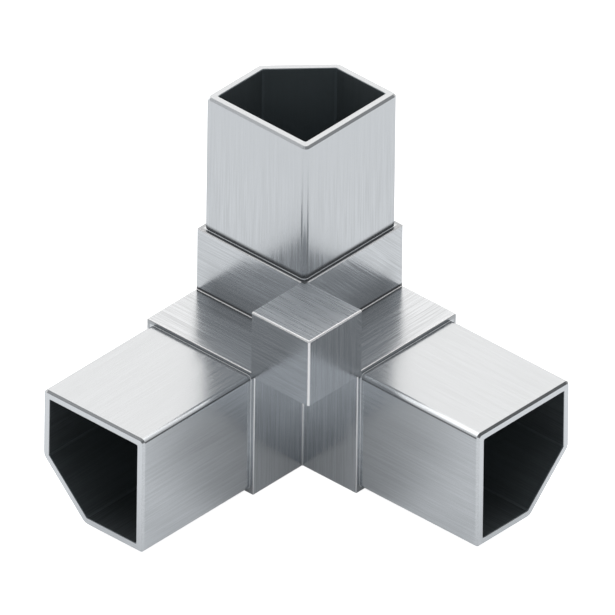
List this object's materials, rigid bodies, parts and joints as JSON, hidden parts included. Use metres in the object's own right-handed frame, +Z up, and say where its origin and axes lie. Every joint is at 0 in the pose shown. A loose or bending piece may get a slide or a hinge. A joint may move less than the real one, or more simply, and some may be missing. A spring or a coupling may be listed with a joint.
{
  "type": "three way corner connector",
  "caption": "Cast square-tube corner connector: square legs meet at right angles and end in shoulders with hollow spigots, with a flush gusset block in the inner corner.",
  "frame": {"origin": "under the crossing of the tube axes, in the flat underside of the hub", "axes": "+Z up along the upright spigot's axis, +X and +Y along the axes of the two lying spigots"},
  "size_m": [0.1035, 0.1035, 0.1035],
  "materials": {
    "brushed_stainless": "satin brushed stainless steel"
  },
  "bodies": {
    "root": {"corner_connector": "brushed_stainless"}
  },
  "joints": []
}
